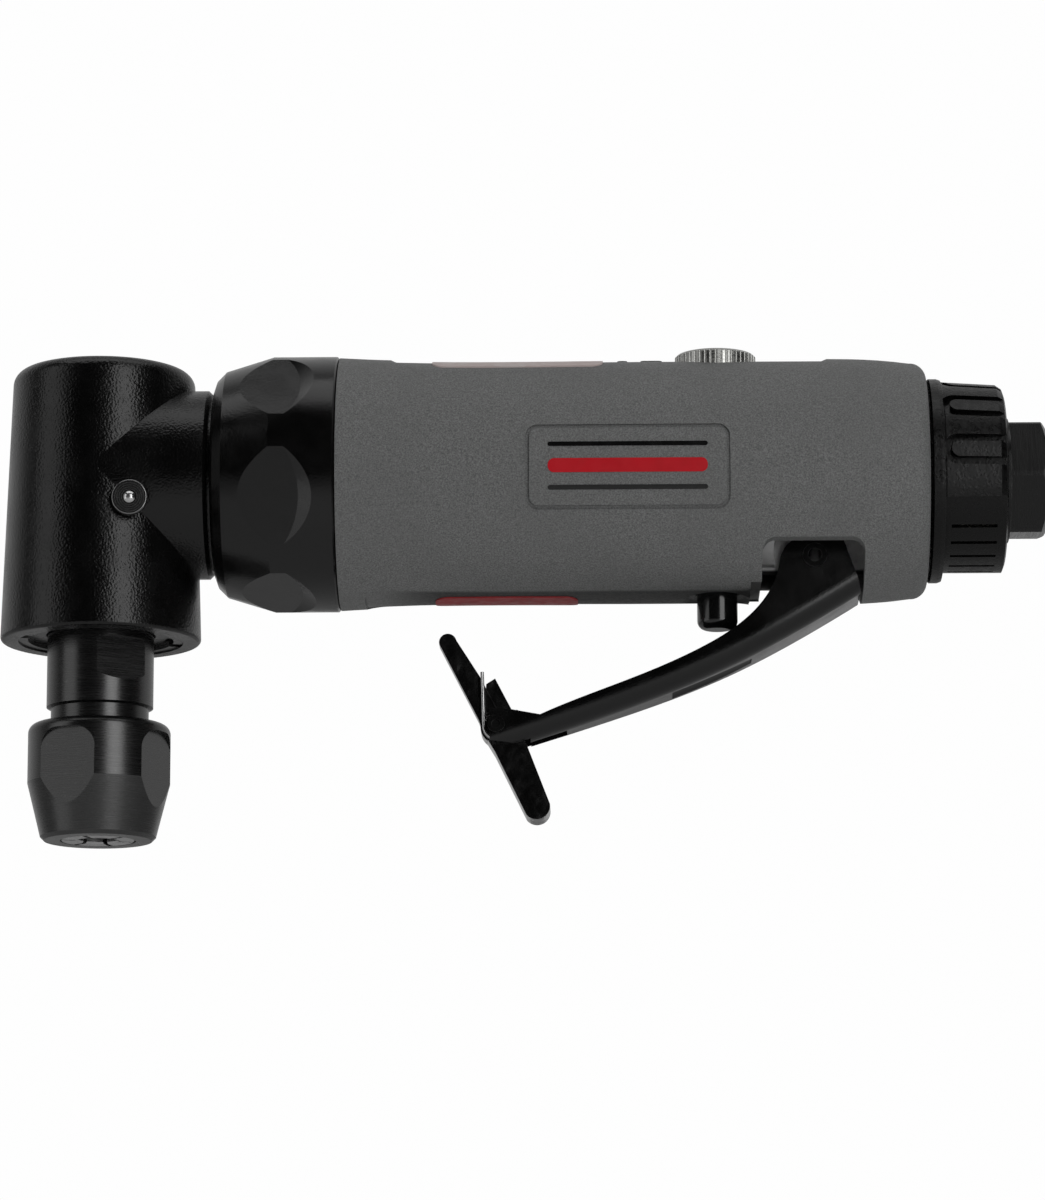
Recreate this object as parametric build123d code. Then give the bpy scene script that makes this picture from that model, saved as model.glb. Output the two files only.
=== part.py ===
from build123d import *
import math
import os

# Right-angle pneumatic die grinder, millimetres.
# Shapes are drawn about the motor's axis: X runs along the motor from the spindle to the air
# inlet, Z is the spindle's axis, and Y completes the frame. Each node is lifted by
# MOTOR_AXIS_HEIGHT when it is written, so the origin of the part is the collet's mouth.

MOTOR_AXIS_HEIGHT = 57.0
SEAT = 0.01  # radial gap of pressed and screwed seats
RUN = 0.05  # radial gap of running fits

# Angle head
HEAD_TOP, HEAD_BOTTOM = 18.3, -25.35
HEAD_TOP_RADIUS, HEAD_BOTTOM_RADIUS = 14.4, 15.85
NECK_RADIUS, NECK_END = 15.0, 17.6
TAIL_RADIUS, TAIL_END = 13.6, 30.4
FLANGE_RADIUS, FLANGE_FRONT, FLANGE_BACK = 15.4, 21.6, 24.0
GEAR_CAVITY_RADIUS, GEAR_CAVITY_TOP = 11.0, 9.2
CAP_RADIUS, CAP_TOP, CAP_BOTTOM = 13.0, -20.7, -25.1
FITTING_X, FITTING_Z, FITTING_FACE = 5.8, -5.25, -15.55
FITTING_RADIUS, FITTING_SHANK, GREASE_BALL_RADIUS = 2.85, 1.9, 1.2

# Bearings: inner race bore, outer race radius, ball radius, number of balls
SPINDLE_LOWER = dict(bore=6.0, outer=12.0, ball=1.75, count=11)
SPINDLE_UPPER = dict(bore=3.0, outer=7.5, ball=1.2, count=8)
PINION = dict(bore=4.0, outer=11.0, ball=1.9, count=8)
ROTOR = dict(bore=3.5, outer=9.5, ball=1.7, count=8)
LOWER_BEARING_Z = (-20.6, -14.6)
UPPER_BEARING_Z = (9.4, 14.4)
PINION_BEARINGS_X = ((11.4, 17.4), (22.4, 28.4))
ROTOR_BEARINGS_X = ((31.4, 37.4), (82.0, 88.0))

# Bevel gears: both cones meet at the crossing of the two axes
MODULE = 1.2
PINION_TEETH, GEAR_TEETH = 12, 16
FACE_WIDTH = 3.8
BACKLASH = 0.28
PRESSURE_ANGLE = math.radians(20)
ROOT_UNDERCUT = 0.3

# Spindle and collet
SPINDLE_RADIUS, SPINDLE_STEP = 8.4, -36.17
SPINDLE_NECK_RADIUS, SPINDLE_THREAD_RADIUS, SPINDLE_MOUTH = 7.7, 7.0, -53.5
WRENCH_FLAT, WRENCH_FLAT_BOTTOM, WRENCH_FLAT_ANGLE = 7.3, -32.4, 32.0
SHANK_RADIUS = 3.175
COLLET_MOUTH = -57.0
NUT_RADIUS, NUT_TOP, NUT_CONE_TOP = 11.2, -38.6, -48.0
NUT_TIP_RADIUS, NUT_TIP, NUT_OPENING = 9.1, -56.4, 5.94
NUT_FLAT, NUT_FLAT_TOP, NUT_FLAT_ANGLE = 10.15, -40.3, -22.9
NUT_FLAT_WIDTH, NUT_FLAT_CORNER = 9.5, 3.2

# Clamp ring
RING_FRONT, RING_BACK = 18.1, 37.9
RING_NOSE_RADIUS, RING_SHOULDER_RADIUS, RING_RADIUS = 15.2, 18.0, 20.3
RING_SHOULDER_X, RING_CONE_END = 20.0, 27.5
SCALLOP_DEPTH_RADIUS, SCALLOP_END, SCALLOP_START_ANGLE = 18.82, 32.2, -17.0
SCALLOP_CUTTER_RADIUS, SCALLOP_CUTTER_SLOPE = 14.0, 1.45

# Motor housing and grip
SHELL_RADIUS, NOSE_THREAD_RADIUS = 17.2, 16.9
MOTOR_BORE_RADIUS, MOTOR_BORE_START, MOTOR_BORE_END = 15.0, 31.0, 88.6
SHELL_END, TAIL_BOSS_RADIUS, TAIL_BOSS_START = 130.0, 13.0, 122.5
GRIP_FRONT, GRIP_BACK = 37.95, 130.6
GRIP_BODY = ((37.95, 20.1), (44.0, 19.8), (80.0, 19.55), (112.0, 19.5), (122.0, 19.3), (128.0, 18.7))
BAND_DEPTH = 0.35
TOP_BAND_X, BOTTOM_BAND_X = (46.0, 115.0), (42.0, 103.0)
TOP_BAND_HALF_WIDTH, BOTTOM_BAND_HALF_WIDTH = 11.6, 7.2
LABEL_THICKNESS = 0.2
TOP_LABEL_X, BOTTOM_LABEL_X = (52.6, 79.6), (53.0, 75.5)
TOP_LABEL_HALF_WIDTH, BOTTOM_LABEL_HALF_WIDTH = 9.3, 3.2
MARKS_X = ((81.9, 83.5), (85.6, 89.0))
PANEL_X, PANEL_Z = (67.5, 99.3), (-8.0, 5.3)
PANEL_GROOVE_WIDTH, PANEL_GROOVE_DEPTH = 0.6, 0.35
BADGE_X, BADGE_THICKNESS = (71.0, 95.8), 0.12
STRIPE_HALF_HEIGHT, LINE_OFFSET, LINE_HALF_HEIGHT = 1.1, 3.4, 0.35
EXHAUST_CHANNEL_X, EXHAUST_CHANNEL_Z, EXHAUST_CHANNEL_DEPTH = (50.0, 124.0), (1.0, 8.0), 15.9
EXHAUST_PORTS_X, EXHAUST_PORT_Z, EXHAUST_PORT_RADIUS = (53.0, 57.0, 61.0), 4.5, 1.5

# Air motor
CYLINDER_X = (42.0, 79.0)
CYLINDER_BORE, CYLINDER_OFFSET = 12.2, 1.0
ROTOR_RADIUS, VANE_COUNT, VANE_THICKNESS, SLOT_DEPTH = 11.1, 5, 1.6, 6.0
ROTOR_SHOULDER_RADIUS, PLATE_HOLE_RADIUS = 5.0, 5.4
DOWEL_RADIUS, DOWEL_Z = 1.0, -13.1

# Throttle valve and regulator, on one vertical axis
VALVE_X = 97.5
STEM_RADIUS, STEM_GROOVE_RADIUS, STEM_BOTTOM = 3.2, 2.4, -23.8
VALVE_SEAT_Z, VALVE_BORE_RADIUS = (0.0, 2.4), 5.0
BUSHING_Z = (-15.8, -8.0)
REGULATOR_RADIUS, REGULATOR_KNOB_RADIUS, REGULATOR_TOP = 6.0, 6.5, 20.5
KNURL_COUNT = 48

# Levers
PIVOT_X, PIVOT_Z = 112.7, -13.3
SAFETY_X, SAFETY_Z = 62.6, -39.5
SHEET, SHEET_RISE = 1.5, 1.7  # thickness of the lever's sheet, square to it and upright in its sloping web
LEVER_WEB = ((119.9, -19.0), (110.0, -24.9), (99.5, -30.4), (83.3, -36.9), (66.8, -42.4))
WEB_EDGE_RADIUS = 3.0
DIMPLE_X, DIMPLE_RADIUS, DIMPLE_DEPTH = (90.2, 102.9), 4.8, 0.7
LEVER_HALF_WIDTH, LEVER_TIP_HALF_WIDTH = 7.6, 5.0
LEVER_PIN_RADIUS, LEVER_PIN_BORE = 1.9, 1.05
SAFETY_PIN_RADIUS, SAFETY_PIN_HEAD = 1.0, 1.35
TONGUE_HALF_WIDTH = 5.9
WINDOW_X, WINDOW_TOP = (104.3, 120.3), -12.0
FLANGE_SWEEP_RADIUS = 6.6

# Air inlet and exhaust deflector
JOURNAL_RADIUS, HEX_FRONT, HEX_BACK, HEX_FLATS = 9.4, 143.6, 149.5, 17.46
HEX_CORNER_RADIUS, HEX_CORNER_ANGLE = 9.9, -5
INLET_RADIUS, INLET_DEPTH = 5.7, 14.0
DEFLECTOR_X = (130.8, 142.8)
DEFLECTOR_RADIUS, EXHAUST_PANEL_RADIUS = 16.2, 14.6
PANEL_ANGLE, PANEL_HALF_ANGLE, SLIT_PITCH, SLIT_COUNT = -78.5, 57.5, 12.5, 7
TONGUE_PITCH, TONGUE_COUNT = 31.5, 7


THROUGH = (-60.0, 60.0)  # limits of cutters that go right through

# ---------------------------------------------------------------- shape helpers


def turned_x(*points):
    """Solid turned about X from (x, radius) points."""
    return revolve(make_face(Polyline(*[(x, 0, r) for x, r in points], close=True)), Axis.X)


def turned_z(*points):
    """Solid turned about Z from (radius, z) points."""
    return revolve(make_face(Polyline(*[(r, 0, z) for r, z in points], close=True)), Axis.Z)


def tube_x(outer, inner, start, end):
    return turned_x((start, inner), (end, inner), (end, outer), (start, outer))


def tube_z(outer, inner, low, high):
    return turned_z((inner, low), (outer, low), (outer, high), (inner, high))


def rod_y(radius, x, z, start, end):
    """Round bar along Y."""
    return Pos(x, start, z) * Rot(-90, 0, 0) * Cylinder(
        radius, end - start, align=(Align.CENTER, Align.CENTER, Align.MIN))


def block(x, y, z):
    """Box between the two limits of each axis."""
    size = (x[1] - x[0], y[1] - y[0], z[1] - z[0])
    return Pos(x[0], y[0], z[0]) * Box(*size, align=(Align.MIN, Align.MIN, Align.MIN))


def prism_y(half_width, *lines):
    """Profile drawn in X and Z, extruded equally to both sides of Y = 0."""
    return Pos(0, -half_width, 0) * extrude(make_face(Curve() + list(lines)), 2 * half_width, dir=(0, 1, 0))


def around_x(angle):
    """Turn that brings the -Y side round towards +Z by an angle in degrees."""
    return Rot(-angle, 0, 0)


def coil(radius, wire, low, high, turns):
    """Helical wire about Z."""
    path = Helix((high - low) / turns, high - low, radius, center=(0, 0, low))
    return sweep(Plane(path @ 0, z_dir=path % 0) * Circle(wire), path)


def bar(start, end, radius):
    """Round bar between two points."""
    line = Line(start, end)
    return sweep(Plane(line @ 0, z_dir=line % 0) * Circle(radius), line)


def write(name, *solids):
    """Write one node, lifted so that the collet's mouth is the origin."""
    shape = solids[0] if len(solids) == 1 else Compound([part.solid() for part in solids])
    export_step(Pos(0, 0, MOTOR_AXIS_HEIGHT) * shape, f"parts/{name}.step")


# ---------------------------------------------------------------- bearings


def bearing(bore, outer, ball, count, width):
    """Deep-groove bearing about Z, from z = 0: outer race, inner race, balls with their cage."""
    pitch = (bore + outer) / 2
    land = ball * 0.55
    middle = width / 2
    groove = Pos(0, 0, middle) * Torus(pitch, ball + 0.03)
    outer_race = tube_z(outer - SEAT, pitch + land, 0, width) - groove
    inner_race = tube_z(pitch - land, bore + SEAT, 0, width) - groove
    spheres = [
        Pos(pitch * math.cos(angle), pitch * math.sin(angle), middle) * Sphere(ball)
        for angle in (math.tau * step / count for step in range(count))
    ]
    pockets = [
        Pos(0, 0, middle) * Rot(0, 0, 360 * step / count) * Rot(0, 90, 0) * Cylinder(
            ball + RUN, 2 * outer, align=(Align.CENTER, Align.CENTER, Align.MIN))
        for step in range(count)
    ]
    rim = ball + 0.5
    cage = tube_z(pitch + 0.35, pitch - 0.35, middle - rim, middle + rim) - pockets
    return outer_race, inner_race, [*spheres, cage]


def write_bearings(name, places, width, sizes):
    """Write the races and the ball sets of identical bearings as three nodes."""
    outers, inners, balls = [], [], []
    for place in places:
        outer_race, inner_race, rolling = bearing(width=width, **sizes)
        outers.append(place * outer_race)
        inners.append(place * inner_race)
        balls.extend(place * piece for piece in rolling)
    write(f"{name}_outer_race", *outers)
    write(f"{name}_inner_race", *inners)
    write(f"{name}_balls", *balls)


# ---------------------------------------------------------------- bevel gears


def bevel_gear(teeth, mate_teeth, hub_radius, hub_length, phase):
    """Straight bevel gear about Z with its cone's apex at the origin and its teeth facing it."""
    cone = math.atan2(teeth, mate_teeth)
    pitch_radius = MODULE * teeth / 2
    cone_distance = pitch_radius / math.sin(cone)
    virtual_radius = pitch_radius / math.cos(cone)
    base_radius = virtual_radius * math.cos(PRESSURE_ANGLE)
    half_arc = (math.pi * MODULE / 2 - BACKLASH) / 2
    addendum, dedendum = 0.8 * MODULE, 1.2 * MODULE

    def flank(height):
        """Radius in the back plane and half angle of the tooth at a height above the pitch cone."""
        angle = cone + math.atan2(height, cone_distance)
        radius = cone_distance * math.cos(cone) * math.tan(angle)
        reach = max(virtual_radius + height, base_radius)
        pressure = math.acos(base_radius / reach)
        narrowing = math.tan(pressure) - pressure - math.tan(PRESSURE_ANGLE) + PRESSURE_ANGLE
        half = half_arc / virtual_radius - narrowing
        undercut = ROOT_UNDERCUT * (reach - virtual_radius - height)
        return radius, (half * reach - undercut) / (cone_distance * math.sin(angle))

    heights = (-dedendum, max(base_radius - virtual_radius, -0.7 * dedendum), 0.3 * MODULE, addendum)
    side = [flank(height) for height in heights]
    points = []
    for tooth in range(teeth):
        middle = math.tau * (tooth + phase) / teeth
        points += [(r, middle - half) for r, half in side]
        points += [(r, middle + half) for r, half in reversed(side)]
    outline = [(r * math.cos(a), r * math.sin(a)) for r, a in points]
    back = cone_distance * math.cos(cone)
    front_scale = 1 - FACE_WIDTH / cone_distance
    big = make_face(Polyline(*[(x, y, back) for x, y in outline], close=True))
    small_points = [(x * front_scale, y * front_scale, back * front_scale) for x, y in outline]
    small = make_face(Polyline(*small_points, close=True))
    toothed = loft([small, big], ruled=True) & Sphere(cone_distance + 0.2)
    hub = Pos(0, 0, back) * Cylinder(
        hub_radius, hub_length, align=(Align.CENTER, Align.CENTER, Align.MIN))
    return toothed + hub


# ---------------------------------------------------------------- angle head


def angle_head():
    height = HEAD_TOP - HEAD_BOTTOM
    body = Pos(0, 0, HEAD_BOTTOM) * Cone(
        HEAD_BOTTOM_RADIUS, HEAD_TOP_RADIUS, height, align=(Align.CENTER, Align.CENTER, Align.MIN))
    body = fillet(body.edges().sort_by(Axis.Z)[-1], 2.4)
    body = fillet(body.edges().sort_by(Axis.Z)[0], 0.6)
    neck = turned_x(
        (0, 0), (0, NECK_RADIUS), (NECK_END - 0.6, NECK_RADIUS), (NECK_END, NECK_RADIUS - 0.6),
        (NECK_END, TAIL_RADIUS), (FLANGE_FRONT, TAIL_RADIUS), (FLANGE_FRONT, FLANGE_RADIUS),
        (FLANGE_BACK, FLANGE_RADIUS), (FLANGE_BACK, TAIL_RADIUS), (TAIL_END, TAIL_RADIUS),
        (TAIL_END, 0))
    head = body + neck
    head -= tube_z(GEAR_CAVITY_RADIUS, 0, LOWER_BEARING_Z[1], GEAR_CAVITY_TOP)
    head -= tube_z(SPINDLE_LOWER["outer"], 0, CAP_TOP, LOWER_BEARING_Z[1])
    head -= tube_z(CAP_RADIUS, 0, HEAD_BOTTOM, CAP_TOP)
    head -= tube_z(SPINDLE_UPPER["outer"], 0, GEAR_CAVITY_TOP, UPPER_BEARING_Z[1])
    head -= tube_z(SPINDLE_UPPER["outer"] - 2, 0, UPPER_BEARING_Z[1], UPPER_BEARING_Z[1] + 0.8)
    head -= tube_x(PINION["outer"], 0, 8.0, TAIL_END)
    ring_groove = PINION_BEARINGS_X[1][1]
    head -= tube_x(PINION["outer"] + 0.8, PINION["outer"] - 1, ring_groove + 0.05, ring_groove + 1.05)
    head -= rod_y(4.8, FITTING_X, FITTING_Z, -20, FITTING_FACE)
    head -= rod_y(FITTING_SHANK, FITTING_X, FITTING_Z, -20, -5)
    return head


def grease_fitting():
    shank = rod_y(FITTING_SHANK - SEAT, FITTING_X, FITTING_Z, FITTING_FACE, -11.2)
    rim = rod_y(FITTING_RADIUS, FITTING_X, FITTING_Z, FITTING_FACE - 0.75, FITTING_FACE)
    rim = fillet(rim.edges().sort_by(Axis.Y)[0], 0.3)
    channel = rod_y(GREASE_BALL_RADIUS + RUN, FITTING_X, FITTING_Z, FITTING_FACE, -11.2)
    mouth = rod_y(GREASE_BALL_RADIUS * 0.8, FITTING_X, FITTING_Z, FITTING_FACE - 1, FITTING_FACE)
    seat = Pos(FITTING_X, FITTING_FACE, FITTING_Z) * Sphere(GREASE_BALL_RADIUS + RUN)
    return shank + rim - channel - mouth - seat


def grease_ball():
    return Pos(FITTING_X, FITTING_FACE, FITTING_Z) * Sphere(GREASE_BALL_RADIUS)


def grease_spring():
    free_end = FITTING_FACE + GREASE_BALL_RADIUS + 0.4
    spring = coil(0.8, 0.15, 0, -11.4 - free_end, 5)
    return Pos(FITTING_X, free_end, FITTING_Z) * Rot(-90, 0, 0) * spring


def bearing_cap():
    cap = tube_z(CAP_RADIUS - SEAT, SPINDLE_RADIUS + 0.25, CAP_BOTTOM, CAP_TOP - SEAT)
    cap -= tube_z(11.5, 0, CAP_BOTTOM, CAP_BOTTOM + 0.8)
    for angle in (20, 200):
        notch = block((10.5, 14), (-1.2, 1.2), (CAP_BOTTOM - 1, CAP_BOTTOM + 1.6))
        cap -= Rot(0, 0, angle) * notch
    return cap


def spindle():
    low, high = LOWER_BEARING_Z
    body = turned_z(
        (0, SPINDLE_MOUTH), (SPINDLE_THREAD_RADIUS - 0.5, SPINDLE_MOUTH),
        (SPINDLE_THREAD_RADIUS, SPINDLE_MOUTH + 0.5), (SPINDLE_THREAD_RADIUS, NUT_TOP),
        (SPINDLE_NECK_RADIUS, NUT_TOP + 0.3), (SPINDLE_NECK_RADIUS, SPINDLE_STEP),
        (SPINDLE_RADIUS, SPINDLE_STEP + 0.3), (SPINDLE_RADIUS, low - 0.9), (7.2, low - 0.9),
        (7.2, low), (SPINDLE_LOWER["bore"], low), (SPINDLE_LOWER["bore"], high), (5.0, high),
        (5.0, -5.5), (3.6, -5.5), (3.6, UPPER_BEARING_Z[0]), (SPINDLE_UPPER["bore"], UPPER_BEARING_Z[0]),
        (SPINDLE_UPPER["bore"], UPPER_BEARING_Z[1] + 0.3), (0, UPPER_BEARING_Z[1] + 0.3))
    taper = turned_z(
        (0, SPINDLE_MOUTH), (5.4, SPINDLE_MOUTH), (4.1, -38.4), (3.5, -38.0), (3.5, -27.0), (0, -25.0))
    body -= taper
    # two spanner flats below the head, their lower ends curved by the milling cutter
    cutter_radius, top = 9.0, -25.6
    outline = Pos(0, WRENCH_FLAT_BOTTOM + cutter_radius) * Circle(cutter_radius)
    flat = extrude(Plane.XZ.offset(WRENCH_FLAT) * outline, 5) & block(THROUGH, THROUGH, (-50, top))
    for side in (0, 180):
        body -= Rot(0, 0, WRENCH_FLAT_ANGLE + side) * flat
    return body


def spindle_gear():
    back = MODULE * PINION_TEETH / 2
    hub_length = -LOWER_BEARING_Z[1] - back - 0.1
    gear = bevel_gear(GEAR_TEETH, PINION_TEETH, 7.4, hub_length, phase=0.5)
    return Rot(180, 0, 0) * gear - tube_z(5.0 + SEAT, 0, -20, 5)


def pinion_shaft():
    """Pinion cut in one piece with its shaft; the rotor's hexagonal nose drives its socket."""
    back = MODULE * GEAR_TEETH / 2
    gear = Rot(0, 90, 0) * bevel_gear(PINION_TEETH, GEAR_TEETH, 5.4, 1.6, phase=0)
    shaft = tube_x(PINION["bore"], 0, back + 1.5, 31.2)
    socket = Pos(25.5, 0, 0) * Rot(0, 90, 0) * extrude(RegularPolygon(2.6, 6), 6)
    return gear + shaft - socket


def pinion_spacer():
    outer = PINION["outer"]
    return tube_x(outer - SEAT, outer - 1.8, PINION_BEARINGS_X[0][1], PINION_BEARINGS_X[1][0])


def snap_ring(radius, thickness, start):
    """Internal retaining ring about X with its gap at the bottom."""
    ring = tube_x(radius + 0.7, radius - 1.2, start, start + thickness)
    return ring - block((start - 1, start + 2), (-2.2, 2.2), (-radius - 1, 0))


# ---------------------------------------------------------------- collet


def collet():
    shank = SHANK_RADIUS
    body = turned_z(
        (shank + 0.3, COLLET_MOUTH), (NUT_OPENING - 0.3, COLLET_MOUTH), (NUT_OPENING - 0.1, -56.8),
        (NUT_OPENING - 0.1, -56.0), (6.6, -55.2), (6.6, -54.0), (5.3, -54.0), (5.3, -53.6),
        (4.06, -38.9), (shank, -38.9), (shank, COLLET_MOUTH + 0.3))
    for angle in (0, 60, 120, 180, 240, 300):
        saw_cut = block((0, 10), (-0.35, 0.35), (COLLET_MOUTH - 1, -42.5))
        body -= Rot(0, 0, angle + 15) * saw_cut
    return body


def collet_nut():
    bore = SPINDLE_THREAD_RADIUS + RUN
    nut = turned_z(
        (NUT_OPENING, COLLET_MOUTH), (NUT_TIP_RADIUS - 0.6, COLLET_MOUTH), (NUT_TIP_RADIUS, NUT_TIP),
        (NUT_RADIUS, NUT_CONE_TOP), (NUT_RADIUS, NUT_TOP), (SPINDLE_NECK_RADIUS + RUN, NUT_TOP),
        (SPINDLE_NECK_RADIUS + RUN, NUT_TOP - 0.6), (bore, NUT_TOP - 1.3), (bore, -55.0),
        (6.85, -55.0), (NUT_OPENING, -56.05))
    rim = nut.edges().filter_by(GeomType.CIRCLE).group_by(Axis.Z)[-1].sort_by(SortBy.RADIUS)[-1]
    nut = fillet(rim, 1.5)
    # each flat is round-cornered above and runs out below, where the nut tapers
    low = NUT_TIP - 10
    outline = RectangleRounded(NUT_FLAT_WIDTH, NUT_FLAT_TOP - low, NUT_FLAT_CORNER)
    outline = Pos(0, (NUT_FLAT_TOP + low) / 2) * outline
    cutter = extrude(Plane.XZ.offset(NUT_FLAT) * outline, 5)
    for turn in range(4):
        nut -= Rot(0, 0, NUT_FLAT_ANGLE + 90 * turn) * cutter
    return nut


# ---------------------------------------------------------------- clamp ring and shells


def clamp_ring():
    """Threaded ring that clamps the head's flange; six flats for a spanner are cut into it."""
    gap = 0.1
    thread = NOSE_THREAD_RADIUS + SEAT
    ring = turned_x(
        (RING_FRONT, TAIL_RADIUS + gap), (RING_FRONT, RING_NOSE_RADIUS), (18.6, 16.6),
        (RING_SHOULDER_X, RING_SHOULDER_RADIUS), (RING_CONE_END, RING_RADIUS),
        (RING_BACK - 0.4, RING_RADIUS), (RING_BACK, RING_RADIUS - 0.4), (RING_BACK, thread),
        (FLANGE_BACK + gap, thread), (FLANGE_BACK + gap, FLANGE_RADIUS + gap),
        (FLANGE_FRONT - gap, FLANGE_RADIUS + gap), (FLANGE_FRONT - gap, TAIL_RADIUS + gap))
    # each spanner flat is milled by a large cone that leaves a curved sloping wall behind it
    height, radius = 4.0, SCALLOP_CUTTER_RADIUS
    cone = Cone(radius, radius + SCALLOP_CUTTER_SLOPE * height, height,
                align=(Align.CENTER, Align.CENTER, Align.MIN))
    cutter = Pos(SCALLOP_END - radius, -SCALLOP_DEPTH_RADIUS, 0) * Rot(90, 0, 0) * cone
    for step in range(6):
        ring -= around_x(SCALLOP_START_ANGLE + 60 * step) * cutter
    return ring


def motor_housing():
    shell = turned_x(
        (FLANGE_BACK + 0.1, TAIL_RADIUS + RUN), (FLANGE_BACK + 0.1, NOSE_THREAD_RADIUS),
        (GRIP_FRONT, NOSE_THREAD_RADIUS), (GRIP_FRONT, SHELL_RADIUS), (TAIL_BOSS_START, SHELL_RADIUS),
        (TAIL_BOSS_START, TAIL_BOSS_RADIUS), (SHELL_END, TAIL_BOSS_RADIUS), (SHELL_END, 0),
        (MOTOR_BORE_END, 0), (MOTOR_BORE_END, MOTOR_BORE_RADIUS), (MOTOR_BORE_START, MOTOR_BORE_RADIUS),
        (MOTOR_BORE_START, TAIL_RADIUS + RUN))
    valve_axis = Pos(VALVE_X, 0, 0)
    shell -= valve_axis * tube_z(STEM_RADIUS + 0.3, 0, -20, BUSHING_Z[0])
    shell -= valve_axis * tube_z(VALVE_BORE_RADIUS, 0, BUSHING_Z[0], 12)
    shell -= valve_axis * tube_z(REGULATOR_RADIUS + RUN, 0, 12, 20)
    shell -= valve_axis * tube_z(REGULATOR_RADIUS + 0.7, 0, 15.9, 16.7)
    # feed to the motor below the seat, and supply from the inlet above it
    shell -= Pos(0, 0, -4) * tube_x(2.6, 0, MOTOR_BORE_END - 1, VALVE_X)
    shell -= Pos(0, 0, 6) * tube_x(3.0, 0, VALVE_X, 121)
    shell -= tube_x(8.0, 0, 119.5, SHELL_END)
    # exhaust channels along both sides, each fed by a port through the shell
    for side in (-1, 1):
        depth = sorted((side * EXHAUST_CHANNEL_DEPTH, side * 20))
        shell -= block(EXHAUST_CHANNEL_X, depth, EXHAUST_CHANNEL_Z)
    shell -= exhaust_ports()
    # room for the lever's flanges on both sides of the tongue that carries their pin
    room = rod_y(FLANGE_SWEEP_RADIUS, PIVOT_X, PIVOT_Z, *THROUGH)
    room += block((PIVOT_X, WINDOW_X[1]), THROUGH, (-20, -9.4))
    room += block(WINDOW_X, THROUGH, (-20, -15))
    shell -= room - block((90, 130), (-TONGUE_HALF_WIDTH, TONGUE_HALF_WIDTH), (-30, 0))
    shell -= rod_y(LEVER_PIN_RADIUS + SEAT, PIVOT_X, PIVOT_Z, -10, 10)
    return shell - dowel_hole(MOTOR_BORE_END - 1, 92)


def exhaust_ports():
    """Row of holes across the motor, from the cylinder to the exhaust channels."""
    return [rod_y(EXHAUST_PORT_RADIUS, x, EXHAUST_PORT_Z, *THROUGH) for x in EXHAUST_PORTS_X]


def dowel_hole(start, end):
    return Pos(0, 0, DOWEL_Z) * tube_x(DOWEL_RADIUS + SEAT, 0, start, end)


def grip_outline(offset):
    """Closed solid of revolution following the sleeve's outer face at a radial offset."""
    body = Spline(*[(x, 0, radius + offset) for x, radius in GRIP_BODY])
    tail = ThreePointArc(body @ 1, (130.0, 0, 17.9 + offset), (GRIP_BACK, 0, 16.6 + offset))
    closing = Polyline(tail @ 1, (GRIP_BACK, 0, 0), (GRIP_FRONT, 0, 0), body @ 0)
    return revolve(make_face(Curve() + [body, tail, closing]), Axis.X)


def skin(low, high):
    """Layer between two offsets of the sleeve's outer face."""
    return grip_outline(high) - grip_outline(low)


def pad(x, half_width, radius, side):
    """Rounded rectangle seen from above or below, as a prism on that side of the axis."""
    plan = Pos((x[0] + x[1]) / 2, 0) * RectangleRounded(x[1] - x[0], 2 * half_width, radius)
    return extrude(plan, 30 * side)


def side_panel(x, z, radius):
    """Rounded rectangle seen from the side, as a prism on the -Y side."""
    plan = Pos((x[0] + x[1]) / 2, (z[0] + z[1]) / 2) * RectangleRounded(x[1] - x[0], z[1] - z[0], radius)
    return extrude(Plane.XZ * plan, 30)


def grip_sleeve():
    sleeve = grip_outline(0) - tube_x(SHELL_RADIUS + SEAT, 0, GRIP_FRONT - 1, GRIP_BACK + 1)
    band = skin(-BAND_DEPTH, 3)
    sleeve -= band & pad(BOTTOM_BAND_X, BOTTOM_BAND_HALF_WIDTH, 3, -1)
    sleeve -= band & pad(TOP_BAND_X, TOP_BAND_HALF_WIDTH, 7, 1)
    inset = PANEL_GROOVE_WIDTH
    groove = side_panel(PANEL_X, PANEL_Z, 2) - side_panel(
        (PANEL_X[0] + inset, PANEL_X[1] - inset), (PANEL_Z[0] + inset, PANEL_Z[1] - inset), 2 - inset)
    sleeve -= skin(-PANEL_GROOVE_DEPTH, 3) & groove
    window = Pos(sum(WINDOW_X) / 2, WINDOW_TOP - 12) * RectangleRounded(WINDOW_X[1] - WINDOW_X[0], 24, 2)
    sleeve -= extrude(Plane.XZ * window, 30, both=True)
    # relief below the window's front edge, for the flanges of the pressed lever
    sleeve -= block((WINDOW_X[0] - 1.7, WINDOW_X[0] + 1), (-8.2, 8.2), (-25, -17.4))
    valve_axis = Pos(VALVE_X, 0, 0)
    sleeve -= valve_axis * tube_z(STEM_RADIUS + 0.4, 0, -25, 0)
    sleeve -= valve_axis * tube_z(REGULATOR_KNOB_RADIUS + 0.3, 0, 0, 25)
    # dished seats of the button and of the regulator's knob
    sleeve -= valve_axis * Pos(0, 0, -26.5) * Sphere(9.2)
    sleeve -= valve_axis * tube_z(REGULATOR_KNOB_RADIUS + 1.0, 0, 18.7, 25)
    for x in MARKS_X:
        sleeve += skin(-BAND_DEPTH - 0.1, 0.05) & pad(x, 1.8, 0.7, 1)
    return sleeve


def label(x, half_width, side):
    """Thin label lying in one of the sleeve's bands."""
    return skin(-BAND_DEPTH, LABEL_THICKNESS - BAND_DEPTH) & pad(x, half_width, 2, side)


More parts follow.
